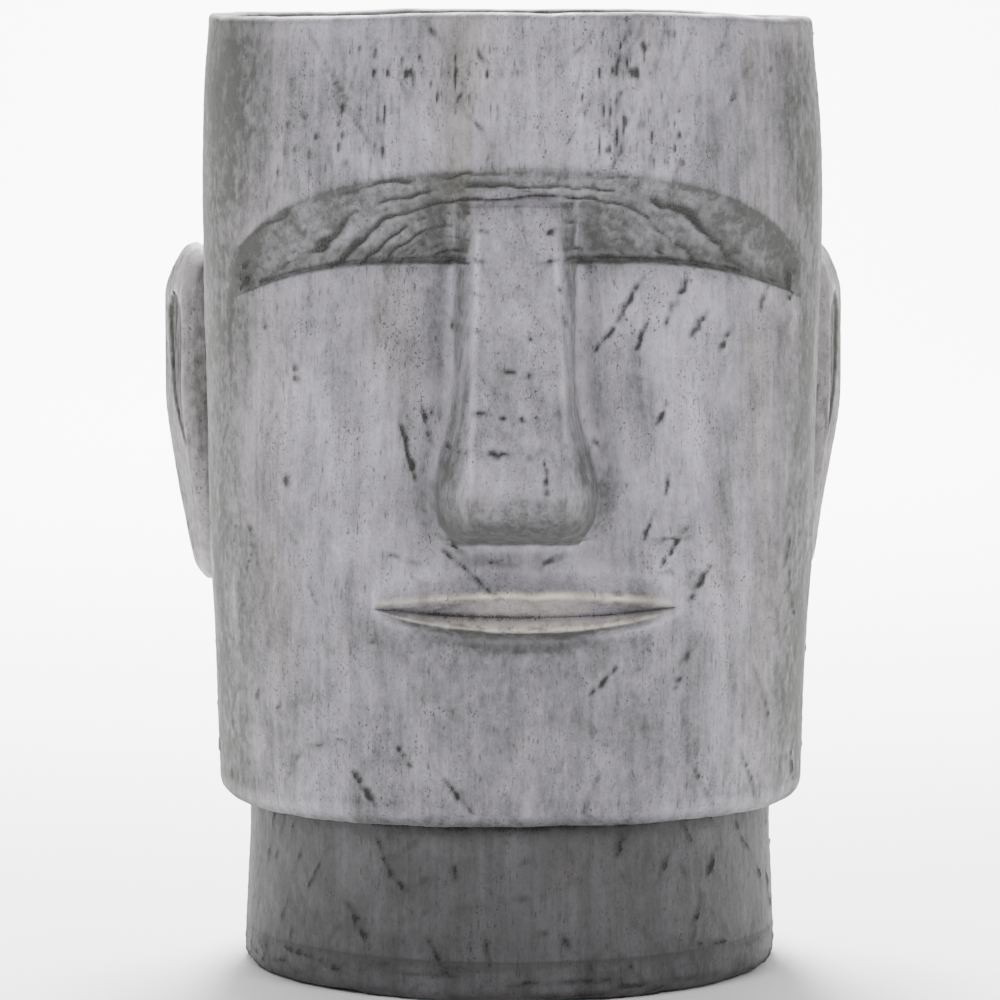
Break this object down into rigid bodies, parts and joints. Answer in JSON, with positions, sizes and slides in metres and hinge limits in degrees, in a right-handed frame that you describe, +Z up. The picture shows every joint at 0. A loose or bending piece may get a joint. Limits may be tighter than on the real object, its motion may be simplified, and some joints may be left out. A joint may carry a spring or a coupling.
{
  "type": "head planter",
  "caption": "Hollow stone-look tiki head planter with a deep brow, long nose, closed lips and bonded ears, on a round neck with a plugged drain.",
  "frame": {"origin": "centre of the bounding box, on the surface that the foot ring stands on; the neck's own axis is 18.8 mm behind it, because the nose stands out in front", "axes": "+Z up; the face looks along -Y; +X is to the right of a person facing the object"},
  "size_m": [0.3138, 0.2896, 0.43],
  "materials": {
    "carved_stone": "matte washed grey with dark grain pits",
    "neck_stone": "matte dark grey, rough at the foot",
    "mesh_lining": "raw skim coat over glass mesh",
    "sleeve_plastic": "satin",
    "plug_rubber": "matte"
  },
  "bodies": {
    "planter": {"head_shell": "carved_stone", "head_lining": "mesh_lining", "left_ear": "carved_stone", "right_ear": "carved_stone", "neck_base": "neck_stone", "neck_lining": "mesh_lining", "drain_sleeve": "sleeve_plastic"},
    "plug": {"drain_plug": "plug_rubber"}
  },
  "joints": [
    {"name": "plug_lift", "type": "slide", "parent": "planter", "child": "plug", "axis": [0, 0, 1], "range_m": [0, 0.43]}
  ]
}
